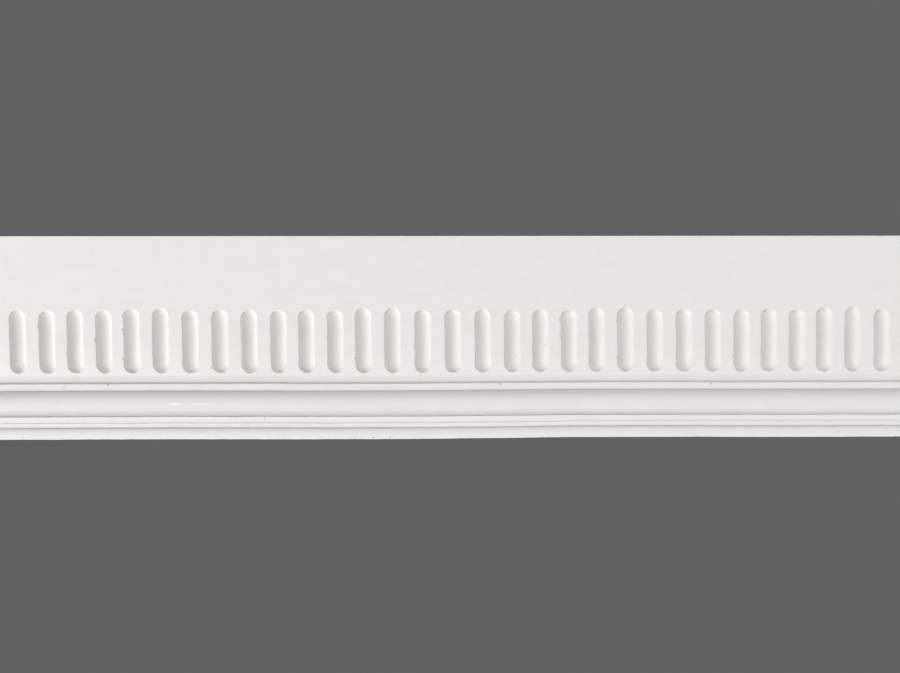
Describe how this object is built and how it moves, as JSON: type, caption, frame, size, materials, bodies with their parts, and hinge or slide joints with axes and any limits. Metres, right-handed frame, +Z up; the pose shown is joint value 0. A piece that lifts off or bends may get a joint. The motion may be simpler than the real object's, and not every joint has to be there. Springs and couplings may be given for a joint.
{
  "type": "fluted panel moulding",
  "caption": "Straight run of cast plaster wall moulding: a flat band with a row of short round-ended flutes, above stepped fillets, an ogee and a rounded edge.",
  "frame": {"origin": "middle of the flat back, which lies against the wall", "axes": "+X along the run, +Y into the wall, so the moulded face looks along -Y, +Z up, with the plain band at the top"},
  "size_m": [0.448, 0.0175, 0.1],
  "materials": {
    "plaster": "matte cast white gypsum plaster"
  },
  "bodies": {
    "root": {"fluted_moulding": "plaster"}
  },
  "joints": []
}
